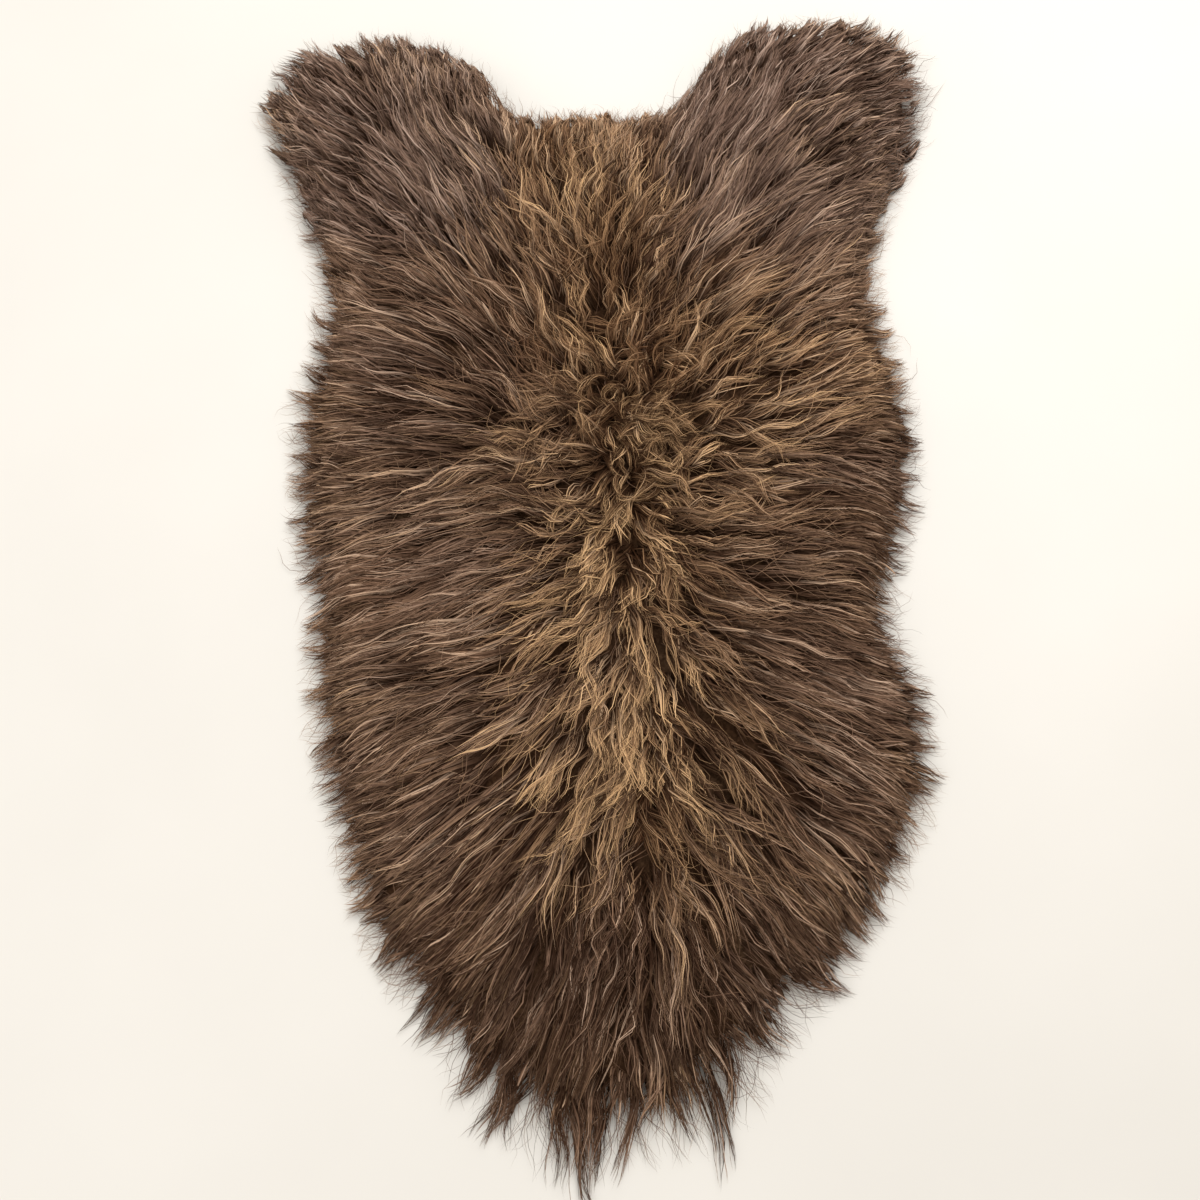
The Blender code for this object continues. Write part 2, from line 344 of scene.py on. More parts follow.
# %% Read a map at any place
def among_four(grid, low, part):
    """The values between the four points of a grid round each place."""
    i, j = low[..., 0], low[..., 1]
    u, v = part[..., 0], part[..., 1]
    near = grid[i, j] * (1 - u) + grid[i + 1, j] * u
    far = grid[i, j + 1] * (1 - u) + grid[i + 1, j + 1] * u
    return near * (1 - v) + far * v


def read_map(field, points):
    """The value of a map at each of many points."""
    at = (points[..., :2] - PROBE_FROM) / PROBE_STEP
    at = np.clip(at, 0.0, np.array(PROBE_COUNT) - 1.001)
    low = at.astype(int)
    return among_four(field, low, at - low)


# %% Measure with soft steps, spots and patches
def ease(low, high, value):
    """A smooth step from 0 at low to 1 at high."""
    share = np.clip((value - low) / (high - low), 0.0, 1.0)
    return share * share * (3.0 - 2.0 * share)


def spot(points, across, along, reach_across, reach_along):
    """1 at a place on the pelt, falling to 0 round it."""
    off = (points[..., :2] - (across, along)) / (reach_across, reach_along)
    return np.exp(-(off**2).sum(-1))


def drift(points, size, seed):
    """Soft chance values from -1 to 1 that change over a distance of size."""
    lattice = np.random.default_rng(seed).uniform(-1.0, 1.0, (96, 96))
    at = points[..., :2] / size + 48.0
    low = np.floor(at).astype(int)
    return among_four(lattice, low % 95, ease(0.0, 1.0, at - low))


def unit(vectors):
    """Vectors made one long."""
    return vectors / (np.linalg.norm(vectors, axis=-1, keepdims=True) + 1e-9)


# %% [markdown]
# ## The woolly ground
#
# Between the locks one looks down into felted underwool. Its dark colour is painted shade, since little
# light gets down between the locks. It is modelled as one closed slab. A flat grid is trimmed to the
# close edge, extruded upwards, and raised to seven tenths of the fleece's true height, which leaves room
# for the locks above. A Displace modifier roughens its top. Its underside lies flat on the floor, with a
# shallow hollow that takes the skin.

# %% Trim a grid to the close edge
CELL = 0.0078
GRID_CELLS = (112, 158)
GROUND_INSET = 0.009

bpy.ops.mesh.primitive_grid_add(x_subdivisions=GRID_CELLS[0], y_subdivisions=GRID_CELLS[1], size=1.0)
ground = bpy.context.object
ground.name = "underwool"
edit_all()
bpy.ops.transform.resize(value=(CELL * GRID_CELLS[0], CELL * GRID_CELLS[1], 1.0))
select_nothing()
leave_edit()
centres = np.array([face.center for face in ground.data.polygons])
outside = read_map(from_close_edge, centres) < GROUND_INSET
ground.data.polygons.foreach_set("select", outside)
bpy.ops.object.mode_set(mode="EDIT")
bpy.ops.mesh.delete(type="FACE")
leave_edit()
print("grid trimmed to", len(ground.data.polygons), "faces")

# %% Ease its stepped edge onto the line
SLOPE = np.stack(np.gradient(from_close_edge, PROBE_STEP), -1)


def flat(values, kind=np.float32):
    """An array's values one after the other, as Blender takes them."""
    return np.asarray(values, kind).ravel()


def points_of(mesh):
    """A mesh's points as an array."""
    points = np.empty(len(mesh.vertices) * 3, np.float32)
    mesh.vertices.foreach_get("co", points)
    return points.reshape(-1, 3).astype(float)


points = points_of(ground.data)
inward = unit(np.stack([read_map(SLOPE[..., side], points) for side in (0, 1)], -1))
depth = read_map(from_close_edge, points)
nudge = np.clip(GROUND_INSET - depth, -CELL / 2, CELL / 2) * (depth < GROUND_INSET + CELL / 2)
points[:, :2] += inward * nudge[:, None]
ground.data.vertices.foreach_set("co", flat(points))
print("edge eased by up to", round(float(np.abs(nudge).max()), 4), "m")

# %% Raise it to the fleece's form
GROUND_SHARE = 0.72
GROUND_EDGE = 0.003
HOLLOW = 0.0025
FLOOR_GAP = 0.0002

edit_all()
bpy.ops.mesh.extrude_region_move(TRANSFORM_OT_translate={"value": (0.0, 0.0, 1.0)})
bpy.ops.mesh.select_all(action="SELECT")
bpy.ops.mesh.normals_make_consistent(inside=False)
select_nothing()
leave_edit()
points = points_of(ground.data)
is_top = points[:, 2] > 0.5
in_hollow = read_map(near_skin, points) > 0.01
raised = GROUND_EDGE + read_map(soft_height, points) * GROUND_SHARE
raised = raised * ease(-0.012, 0.012, read_map(from_close_edge, points))
points[:, 2] = np.where(is_top, raised, np.where(in_hollow, HOLLOW, FLOOR_GAP))
ground.data.vertices.foreach_set("co", flat(points))
ground.data.update()
print("underwool:", len(ground.data.polygons), "faces")

# %% Roughen its top
GROUND_ROUGHNESS = 0.006

lumps = bpy.data.textures.new("wool lumps", "CLOUDS")
lumps.noise_scale = 0.012
lumps.noise_depth = 2
top_group = ground.vertex_groups.new(name="top")
top_group.add(np.flatnonzero(is_top).tolist(), 1.0, "REPLACE")
roughen = ground.modifiers.new("roughen", "DISPLACE")
roughen.texture = lumps
roughen.texture_coords = "LOCAL"
roughen.direction = "Z"
roughen.mid_level = 0.4
roughen.strength = GROUND_ROUGHNESS
roughen.vertex_group = "top"
bpy.ops.object.modifier_apply(modifier="roughen")
bpy.ops.object.shade_smooth()
print("top roughened by", GROUND_ROUGHNESS, "m")

# %% [markdown]
# ## How the wool lies
#
# A sheep's wool parts along its back and falls away to both sides. The direction at any place follows
# from that: each place on the parting pushes the wool away from itself, more weakly the further off it
# is, and the pushes add up. The strengths say where the wool is driven apart most, as at the whorl
# behind the shoulders. A hand has since combed some places another way, and those are pushes too.

# %% Find the lie of the wool
PARTING_BREADTH = 0.030
PARTING_ALONG = np.linspace(0.38, -0.34, 10)
PARTING_ACROSS = (-0.015, -0.010, 0.000, 0.005, 0.015, 0.020, 0.022, 0.024, 0.026, 0.028)
PARTING_STRENGTH = (0.2, 0.7, 0.8, 1.5, 2.2, 1.7, 1.0, 0.7, 0.6, 0.7)
COMBED = (
    # across, along, reach across, reach along, push across, push along
    (0.27, -0.15, 0.12, 0.15, 0.75, 0.00),
    (-0.22, -0.25, 0.12, 0.17, -0.75, 0.00),
    (-0.20, -0.39, 0.08, 0.07, -1.10, 0.00),
    (0.19, -0.48, 0.10, 0.08, 0.90, 0.00),
    (0.31, 0.47, 0.08, 0.10, 0.95, 0.00),
    (-0.25, 0.36, 0.08, 0.08, -0.25, 0.00),
    (0.24, 0.36, 0.08, 0.08, 0.22, 0.00),
    (-0.02, 0.40, 0.13, 0.16, 0.00, 0.90),
    (0.15, 0.52, 0.08, 0.10, 0.00, 0.35),
    (-0.03, 0.17, 0.08, 0.10, 0.00, 0.75),
    (0.08, 0.16, 0.07, 0.10, 0.00, 0.75),
    (0.00, -0.29, 0.06, 0.15, 0.00, -1.20),
    (-0.03, -0.36, 0.07, 0.07, 0.00, -0.50),
    (0.10, -0.02, 0.06, 0.07, 0.60, 0.10),
)


def lie_of_wool(points):
    """The direction in which the wool lies at each place: away from the parting, and as combed."""
    push = np.zeros(points.shape[:-1] + (2,))
    for along, across, strength in zip(PARTING_ALONG, PARTING_ACROSS, PARTING_STRENGTH):
        away = points[..., :2] - (across, along)
        push += strength * away / ((away**2).sum(-1, keepdims=True) + PARTING_BREADTH**2)
    lie = unit(push)
    for *place, push_across, push_along in COMBED:
        lie = lie + spot(points, *place)[..., None] * (push_across, push_along)
    return unit(lie)


def parting_at(along):
    """How far to the right the parting runs at places along the pelt."""
    return np.interp(along, PARTING_ALONG[::-1], PARTING_ACROSS[::-1])


def across_parting(points):
    """How far each place lies to the right of the parting."""
    return points[..., 0] - parting_at(points[..., 1])


def turned_by(direction, angle):
    """Flat directions turned by an angle each."""
    c, s = np.cos(angle)[..., None], np.sin(angle)[..., None]
    x, y = direction[..., :1], direction[..., 1:2]
    return np.concatenate((c * x - s * y, s * x + c * y), -1)


print("wool lies", lie_of_wool(np.array((0.2, 0.0))).round(2), "at the right side")

# %% [markdown]
# ## Locks
#
# Wool doesn't grow as single hairs but in locks: fibres that wave together and end in one point. So the
# coat is planned from the large to the small. First come the tufts, about 22 mm apart, and more of them
# in the middle of the back, where the wool is driven apart most. Each has its own direction, length, wave
# and height in the coat. A tuft holds a few locks that draw together towards its tip. Each lock is a path
# of points, walked step by step along the lie of the wool.

# %% Scatter the tufts
chance = np.random.default_rng(29)
TUFT_SPACING = 0.0222
LEAST_INSIDE = 0.003
MID_BACK = (0.005, 0.040)
MID_BACK_REACH = (0.085, 0.1105)


def scattered(spacing, least_inside):
    """Places over the fleece in staggered rows, each moved a little by chance."""
    rows = np.arange(-0.66, 0.66, spacing * 0.866)
    columns = np.arange(-0.42, 0.42, spacing)
    across, along = np.meshgrid(columns, rows)
    across = across + np.where(np.arange(len(rows)) % 2, spacing / 2, 0.0)[:, None]
    points = np.stack((across.ravel(), along.ravel()), -1)
    points += chance.uniform(-0.42, 0.42, points.shape) * spacing
    return points[read_map(from_close_edge, points) > least_inside]


tufts = scattered(TUFT_SPACING, LEAST_INSIDE)
more_tufts = scattered(1.3 * TUFT_SPACING, LEAST_INSIDE)
from_mid_back = np.linalg.norm((more_tufts - MID_BACK) / MID_BACK_REACH, axis=-1)
tufts = np.concatenate((tufts, more_tufts[from_mid_back < 1.0]))
print(len(tufts), "tufts")

# %% [markdown]
# The parting itself would lie bare, because all wool falls away from it. On the real pelt short curly
# tufts stand in it, brushed this way and that, and cover it. They are set along it, pointing more or
# less to the neck in the lower part and to the legs in the upper part. A third of them crowd into the
# whorl, and a few more fill a patch below it.

# %% Set the short tufts of the parting
COVER_COUNT = 228
COVER_FROM, COVER_TO = -0.40, 0.38
COVER_BREADTH = 0.020
WHORL_SHARE = 0.35
WHORL_ALONG, WHORL_REACH = 0.085, 0.045
PATCH_COUNT = 18
PATCH_CENTRE, PATCH_REACH = (0.016, 0.000), (0.022, 0.028)

cover_along = np.linspace(COVER_FROM, COVER_TO, COVER_COUNT) + chance.normal(0.0, 0.006, COVER_COUNT)
at_centre = chance.random(COVER_COUNT) < WHORL_SHARE
cover_along = np.where(at_centre, chance.normal(WHORL_ALONG, WHORL_REACH, COVER_COUNT), cover_along)
off_parting = chance.normal(0.0, COVER_BREADTH, COVER_COUNT) * (1.0 + 0.6 * at_centre)
cover = np.stack((parting_at(cover_along) + off_parting, cover_along), -1)
patch = PATCH_CENTRE + chance.uniform(-1.0, 1.0, (PATCH_COUNT, 2)) * PATCH_REACH
cover = np.concatenate((cover, patch))
print(len(cover), "tufts cover the parting")

# %% Point them up or down
upwards = ease(0.06, 0.24, cover[:, 1])
heading = -0.5 * pi + pi * (chance.random(len(cover)) < upwards)
at_whorl = np.exp(-(((cover[:, 1] - 0.09) / 0.11) ** 2))
heading = heading + chance.normal(0.0, 1.0, len(cover)) * (0.28 + 0.7 * at_whorl)
cover_heading = np.stack((np.cos(heading), np.sin(heading)), -1)
print(int((cover_heading[:, 1] > 0.0).sum()), "point to the legs")

# %% [markdown]
# At the rim, the wool ends in pointed tufts with the floor between them. They are rooted 14 to 36 mm
# inside the close edge, each about two centimetres from the next, and reach out about as far as the rim.

# %% Set the pointed tufts of the fringe
FRINGE_SPACING = 0.019
FRINGE_NEAREST, FRINGE_DEEPEST = 0.014, 0.036

candidates = scattered(0.006, FRINGE_NEAREST)
candidates = candidates[read_map(from_close_edge, candidates) < FRINGE_DEEPEST]
fringe = candidates[:1]
for place in candidates[chance.permutation(len(candidates))]:
    if np.linalg.norm(fringe - place, axis=-1).min() > FRINGE_SPACING:
        fringe = np.concatenate((fringe, place[None]))
kind = np.repeat((0, 1, 2), (len(tufts), len(cover), len(fringe)))
is_cover, is_fringe = kind == 1, kind == 2
tufts = np.concatenate((tufts, cover, fringe))
print(len(fringe), "pointed tufts at the rim")

# %% Give each tuft its own character
count = len(tufts)
beside = np.abs(across_parting(tufts))
near_parting = np.exp(-((beside / 0.050) ** 2)) * ease(-0.42, -0.30, tufts[:, 1])
near_parting *= 1.0 - ease(0.24, 0.36, tufts[:, 1])
whorl = spot(tufts, 0.030, 0.095, 0.075, 0.070)
band = spot(tufts, 0.0, 0.430, 0.085, 0.060)
legs = ease(0.30, 0.46, tufts[:, 1])
neck = 1.0 - ease(-0.46, -0.32, tufts[:, 1])
upper_strip = ease(0.14, 0.24, tufts[:, 1])
print("in the whorl:", int((whorl > 0.5).sum()), "tufts")

# %% Make each as long as it grows there
TUFT_LENGTH, COVER_LENGTH = 0.144, 0.092

tuft_length = TUFT_LENGTH + 0.026 * neck - 0.034 * legs - 0.006 * band - 0.060 * whorl
tuft_length -= 0.022 * near_parting
tuft_length = np.where(is_cover, COVER_LENGTH - 0.045 * whorl + 0.030 * upper_strip, tuft_length)
to_rim = np.maximum(read_map(from_rim, tufts), 0.018)
tuft_length = np.where(is_fringe, 0.012 + to_rim * (1.15 + 0.35 * neck), tuft_length)
tuft_length *= chance.uniform(0.72, 1.22, count)
wild = is_fringe * neck
tuft_length *= 1.0 + wild * chance.uniform(-0.30, 0.36, count)
print("tufts are", tuft_length.min().round(3), "to", tuft_length.max().round(3), "m long")

# %% Give each its turn, its bend and its wave
turn_spread = 0.10 + 0.20 * near_parting + 0.45 * whorl + 0.22 * wild
bend_spread = 0.26 + 0.40 * near_parting + 1.00 * whorl + 0.50 * wild
tuft_turn = chance.normal(0.0, 1.0, count) * turn_spread
tuft_bend = chance.normal(0.0, 1.0, count) * bend_spread
curly = np.clip(near_parting + whorl + is_cover, 0.0, 1.0)
wave_size = chance.uniform(0.0009, 0.0026, count) * (1.0 + 0.8 * curly - 0.3 * legs)
wave_long = chance.uniform(0.050, 0.085, count) * (1.0 - 0.38 * curly - 0.38 * legs)
wave_phase = chance.uniform(0.0, 2.0 * pi, count)
tuft_level = chance.random(count)
tuft_tone = chance.normal(0.0, 1.0, count)
print("waves are", wave_long.min().round(3), "to", wave_long.max().round(3), "m long")

# %% [markdown]
# A tuft that covers the parting follows its own heading at the middle of the parting, and gives way to
# the lie of the wool the further it gets from there.

# %% Walk the tufts' paths
PATH_POINTS = 25
FALLS_FROM = 0.032
path_share = np.linspace(0.0, 1.0, PATH_POINTS)


def walked(length):
    """Each tuft's path along the lie of the wool, so long."""
    step = (length / (PATH_POINTS - 1))[:, None]
    path = np.zeros((count, PATH_POINTS, 2))
    path[:, 0] = tufts
    by_lie = (1.05 - 0.60 * whorl)[is_cover]
    for number, share in enumerate(path_share[1:], 1):
        here = path[:, number - 1]
        onwards = lie_of_wool(here)
        falls = by_lie * np.clip(np.abs(across_parting(here[is_cover])) / FALLS_FROM, 0.20, 1.0)
        onwards[is_cover] = falls[:, None] * onwards[is_cover] + cover_heading
        turn = tuft_turn * (1.0 - 0.5 * share) + tuft_bend * (share - 0.4)
        turn = turn + 0.22 * drift(here, 0.07, 3) + 0.12 * drift(here, 0.03, 4)
        path[:, number] = here + step * turned_by(unit(onwards), turn)
    return path


walk = walked(tuft_length)
print("walked", count, "paths")

# %% [markdown]
# On the leg flaps the wool was trimmed with the edge of the skin, so every tuft comes to its point near
# the rim, some a few centimetres before it. Those paths are walked again, as much shorter.

# %% End the tufts of the leg flaps near the rim
STOPS_BEFORE_RIM = (-0.008, 0.042)

stops = chance.uniform(*STOPS_BEFORE_RIM, count) * (1.0 - 0.8 * np.clip(1.5 * band, 0.0, 1.0))
stops = np.where(is_fringe, -0.006, stops) - 0.008 * band
past_stop = (read_map(from_rim, walk) < stops[:, None]) & (legs > 0.5)[:, None]
shorter = np.where(past_stop.any(1), past_stop.argmax(1) / (PATH_POINTS - 1), 1.0)
tuft_length = tuft_length * np.clip(shorter, 0.25, 1.0)
walk = walked(tuft_length)
print("shortened", int(past_stop.any(1).sum()), "tufts")

# %% Divide the tufts into locks
LOCKS_IN_TUFT = 7
TUFT_RADIUS = 0.0132

over_edge = ease(0.0, 0.02, -read_map(from_close_edge, walk[:, -1]))
pointed = np.maximum(curly, over_edge * np.clip(legs + neck, 0.4, 1.0))
pointed = np.where(is_fringe, 1.0, pointed)
drawn_together = 0.28 + 0.56 * pointed
tuft_of = np.repeat(np.arange(count), LOCKS_IN_TUFT)
lock_count = len(tuft_of)
angle = chance.uniform(0.0, 2.0 * pi, lock_count)
aside = chance.uniform(0.02, 1.0, lock_count)
radius = TUFT_RADIUS * np.sqrt(aside) * (1.0 - 0.25 * pointed[tuft_of])
offset = np.stack((radius * np.cos(angle), radius * np.sin(angle)), -1)
apart = 1.0 - drawn_together[tuft_of][:, None] * path_share**1.2
lock_path = walk[tuft_of] + offset[:, None] * apart[..., None]

tangent = unit(np.gradient(lock_path, axis=1))
sideways = np.stack((tangent[..., 1], -tangent[..., 0]), -1)
travelled = tuft_length[tuft_of][:, None] * path_share
phase = wave_phase[tuft_of] + chance.normal(0.0, 0.8, lock_count)
long = wave_long[tuft_of] * chance.uniform(0.85, 1.15, lock_count)
swing = 2.0 * pi * travelled / long[:, None] + phase[:, None]
swell = wave_size[tuft_of] * chance.uniform(0.6, 1.4, lock_count)
swell = swell[:, None] * ease(0.0, 0.3, path_share)
lean = chance.normal(0.0, 0.05, lock_count)[:, None] * travelled
lock_path = lock_path + sideways * (swell * np.sin(swing) + lean)[..., None]
crest_of_tuft = (pointed[tuft_of] * (1.0 - aside))[:, None]
lock_lift = 0.4 * swell * np.cos(swing) + 0.0050 * crest_of_tuft * ease(0.0, 0.35, path_share)
print(lock_count, "locks")

# %% [markdown]
# The other locks that run out over the close edge end soon after it, the sooner the more often, so that
# they fill the gaps between the pointed tufts only near the edge. None passes the rim by much more
# than a centimetre, or three at the neck.

# %% End the locks in the fringe
SOON = 0.72
PAST_RIM = 0.012
PAST_NECK = 0.034

inside_close, inside_rim = read_map(from_close_edge, lock_path), read_map(from_rim, lock_path)
into_fringe = -inside_close / np.maximum(inside_rim - inside_close, 0.004)
may_reach = SOON * chance.random(count) ** 1.5
may_reach = np.clip(may_reach[tuft_of] + chance.normal(0.0, 0.10, lock_count), 0.0, 1.0)
may_reach = np.where((is_fringe | (legs > 0.5))[tuft_of], 9.0, may_reach)
past = np.where(neck[tuft_of] > 0.5, PAST_NECK, PAST_RIM)[:, None]
beyond = (into_fringe > may_reach[:, None]) | (inside_rim < -past)
beyond[:, :2] = False
ends_at = np.where(beyond.any(1), beyond.argmax(1) / (PATH_POINTS - 1), 1.0)
print("locks that end in the fringe:", int(beyond.any(1).sum()))

# %% [markdown]
# ## A strand
#
# A strand stands for a few dozen fibres that cling together. It could be a tube, but ten times as many
# flat blades fit in the same number of faces, and from half an arm's length a blade a millimetre wide
# looks just like a strand. Three blades are modelled: for the top, for the layers under it and for loose
# wisps. Each is a strip of faces that narrows as a real strand does, with its last two points merged.

# %% Model the blades
TOP_FACES = 9
UNDER_FACES = 5
WISP_FACES = 6


def model_blade(name, faces):
    """A strip from y = 0 to 1, 1 wide where it is widest and pointed at its tip."""
    bpy.ops.mesh.primitive_grid_add(x_subdivisions=1, y_subdivisions=faces, size=1.0)
    blade = bpy.context.object
    blade.name = name
    edit_all()
    bpy.ops.transform.translate(value=(0.0, 0.5, 0.0))
    select_nothing()
    leave_edit()
    for vertex in blade.data.vertices:
        vertex.select = vertex.co.y > 1.0 - 0.5 / faces
    bpy.ops.object.mode_set(mode="EDIT")
    bpy.ops.mesh.merge(type="CENTER")
    leave_edit()
    for vertex in blade.data.vertices:
        taper = 0.75 + 0.25 * min(vertex.co.y / 0.3, 1.0)
        vertex.co.x *= taper * (1.0 - 0.72 * max(vertex.co.y - 0.35, 0.0) / 0.65)
    return blade


top_strand = model_blade("top_strand", TOP_FACES)
under_strand = model_blade("under_strand", UNDER_FACES)
wisp = model_blade("wisp", WISP_FACES)
print("a strand of the top has", len(top_strand.data.polygons), "faces")

# %% [markdown]
# ## Laying the strands
#
# Laying 70,000 copies by hand, or bending each with a Curve modifier, would take far too long, so they
# are laid with arrays of numbers. Each copy's points are moved from the model's straight line to the same
# share of the way along its own path. The copies of one part of the pelt are joined in one mesh.
#
# Each strand also keeps four numbers for its colour: how far along it a point is, its own tone, how much
# sun has bleached it, and how warm its brown is. The tone and the sun also carry painted light and shade
# from where a strand lies in its lock. Its place in the texture map is a small upright rectangle of its
# own.


# %% Lay copies of a blade along paths
ABOVE_FLOOR = 0.0006
BLADES_IN_COLUMN = 20


def lay_blades(name, blade, paths, width, roll, tone, sun, warmth):
    """One mesh of a blade's copies, one on each path."""
    co = np.array([vertex.co for vertex in blade.data.vertices])
    side, along = co[:, 0], co[:, 1]
    row = np.rint(along * len(blade.data.polygons)).astype(int)
    ahead = unit(np.gradient(paths, axis=1))
    level = unit(np.cross(ahead, (0.0, 0.0, 1.0)))
    up = np.cross(level, ahead)
    across = level * np.cos(roll)[:, None, None] + up * np.sin(roll)[:, None, None]
    points = paths[:, row] + across[:, row] * (side * width[:, None])[..., None]
    points[..., 2] = np.maximum(points[..., 2], ABOVE_FLOOR)

    number, per_blade = len(paths), len(row)
    corners = np.array([index for face in blade.data.polygons for index in face.vertices])
    sizes = np.array([len(face.vertices) for face in blade.data.polygons])
    shift = per_blade * np.arange(number)[:, None]
    mesh = bpy.data.meshes.new(name)
    mesh.vertices.add(number * per_blade)
    mesh.vertices.foreach_set("co", flat(points))
    mesh.loops.add(number * len(corners))
    mesh.loops.foreach_set("vertex_index", flat(corners + shift, np.int32))
    mesh.polygons.add(number * len(sizes))
    starts = np.concatenate(((0,), np.cumsum(np.tile(sizes, number))[:-1]))
    mesh.polygons.foreach_set("loop_start", flat(starts, np.int32))
    mesh.update(calc_edges=True)
    mesh.shade_smooth()

    fibre = np.empty((number, per_blade, 3), np.float32)
    fibre[..., 0] = along
    fibre[..., 1] = tone[:, None]
    fibre[..., 2] = sun[:, None]
    mesh.attributes.new("fibre", "FLOAT_VECTOR", "POINT").data.foreach_set("vector", flat(fibre))

    warm = np.repeat(warmth.astype(np.float32), per_blade)
    mesh.attributes.new("warmth", "FLOAT", "POINT").data.foreach_set("value", warm)

    columns = -(-number // BLADES_IN_COLUMN)
    order = np.arange(number)
    left = (order // BLADES_IN_COLUMN)[:, None] + 0.5 + 0.70 * np.sign(side) / 2
    low = (order % BLADES_IN_COLUMN)[:, None] + 0.02 + 0.96 * along
    uv = np.stack((left / columns, low / BLADES_IN_COLUMN), -1)[:, corners]
    mesh.uv_layers.new(name="OFBake").data.foreach_set("uv", flat(uv))

    piece = bpy.data.objects.new(name, mesh)
    bpy.context.scene.collection.objects.link(piece)
    print(name, "has", number, "blades and", number * int((sizes - 2).sum()), "triangles")
    return piece


# %% [markdown]
# ## The coat
#
# Every strand follows its lock, at its own place in the lock's width and depth, closer in towards the
# tip. It comes up out of the ground at its root and lies on top at its end, over the roots of the next
# locks, as straw lies on a thatched roof. A few strands stray from their lock.
#
# Only the locks on top are seen for most of their length. The rest fill the coat from below, so they
# get blades with about half as many faces, which are wider.

# %% Plan the strands
STRANDS_IN_LOCK = (4, 8)
STRAY_SHARE = 0.10
ON_TOP_FROM = 0.54

level_of_lock = tuft_level[tuft_of] * 0.55 + 0.45 * chance.random(lock_count)
covers, in_whorl = is_cover[tuft_of], whorl[tuft_of] > 0.5
level_of_lock = np.where(covers & ~in_whorl, 0.15 + 0.55 * level_of_lock, level_of_lock)
level_of_lock = np.where(covers & in_whorl, 0.30 + 0.70 * level_of_lock, level_of_lock)
level_of_lock = level_of_lock * (0.40 + 0.60 * ease(0.10, 0.50, ends_at))
level_of_lock = np.where(is_fringe[tuft_of], 0.10 + 0.40 * level_of_lock, level_of_lock)
strands_in = chance.integers(STRANDS_IN_LOCK[0], STRANDS_IN_LOCK[1] + 1, lock_count)
lock_of = np.repeat(np.arange(lock_count), strands_in)
total = len(lock_of)
tuft_of_strand = tuft_of[lock_of]
level = level_of_lock[lock_of]
on_top = (level > ON_TOP_FROM) | is_fringe[tuft_of_strand]
print(total, "strands,", int(on_top.sum()), "of them on top")

# %% Give each strand its place in its lock
stray = chance.random(total) < STRAY_SHARE * (1.0 - 0.85 * pointed[tuft_of_strand])
start_share = chance.uniform(0.02, 0.30, total) * ends_at[lock_of]
drawn_out = 0.28 + 0.14 * pointed[tuft_of_strand]
end_share = ends_at[lock_of] * (1.0 - drawn_out * chance.random(total) ** 1.3)
ring = np.sqrt(chance.random(total))
around = chance.uniform(0.0, 2.0 * pi, total)
beside_lock = ring * np.cos(around)
over_lock = ring * np.sin(around)
frizz_long = chance.uniform(0.028, 0.055, total)
frizz_size = chance.uniform(0.0002, 0.0008, total) * (1.0 + 1.5 * stray)
tip_lift = chance.uniform(-0.001, 0.004, lock_count)[lock_of]
print(int(stray.sum()), "strands stray from their lock")


# %% Set out strands along their locks' paths
LOCK_RADIUS = 0.0034
ROOT_LAYER = 0.54
TOP_LAYER = 0.86
LEVEL_SPREAD = 0.26
RIDGE = 0.0028
LEAST_HEIGHT = 0.0012


def along_path(field, owner, share):
    """The values of a field of paths at shares of the way along them."""
    at = np.clip(share, 0.0, 1.0) * (PATH_POINTS - 1)
    low = np.minimum(at.astype(int), PATH_POINTS - 2)
    part = at - low
    if field.ndim == 3:
        part = part[..., None]
    return field[owner[:, None], low] * (1.0 - part) + field[owner[:, None], low + 1] * part


def set_out(chosen, faces):
    """The paths of the chosen strands, one point for each row of a blade with that many faces."""

    def of(values):
        return values[chosen][:, None]

    lock, begin = lock_of[chosen], of(start_share)
    share = begin + (of(end_share) - begin) * (np.arange(faces + 1) / faces)
    of_lock = share / ends_at[lock][:, None]
    strays, beside, over = of(stray), of(beside_lock), of(over_lock)

    closeness = 1.0 - 0.85 * ease(0.45, 1.0, of_lock)
    closeness = np.where(strays, 0.9 + 1.6 * of_lock, closeness)
    distance = tuft_length[of(tuft_of_strand)] * share
    swing = 2.0 * pi * distance / of(frizz_long) + 3.0 * of(around)
    sidestep = LOCK_RADIUS * beside * closeness + of(frizz_size) * np.sin(swing)
    seen = along_path(lock_path, lock, share)
    seen = seen + along_path(sideways, lock, share) * sidestep[..., None]

    layer = ROOT_LAYER + (TOP_LAYER - ROOT_LAYER) * ease(0.0, 0.35, share)
    layer = layer + LEVEL_SPREAD * (of(level) - 0.45) * ease(0.05, 0.45, share)
    rise = read_map(soft_height, seen) * layer + along_path(lock_lift, lock, share)
    rise = rise + RIDGE * (1.0 - beside**2) * ease(0.05, 0.35, share)
    rise = rise + 0.0016 * over * closeness + of(tip_lift) * share**2
    rise = rise + np.where(strays, 0.0030 * share, 0.0)
    rise = np.maximum(rise, LEAST_HEIGHT + 0.0045 * (0.5 + 0.5 * over))
    return np.concatenate((seen, rise[..., None]), -1)


ends = set_out(np.arange(total), 1)
roots, tips = ends[:, 0], ends[:, 1]
print("highest tip:", tips[:, 2].max().round(4), "m")
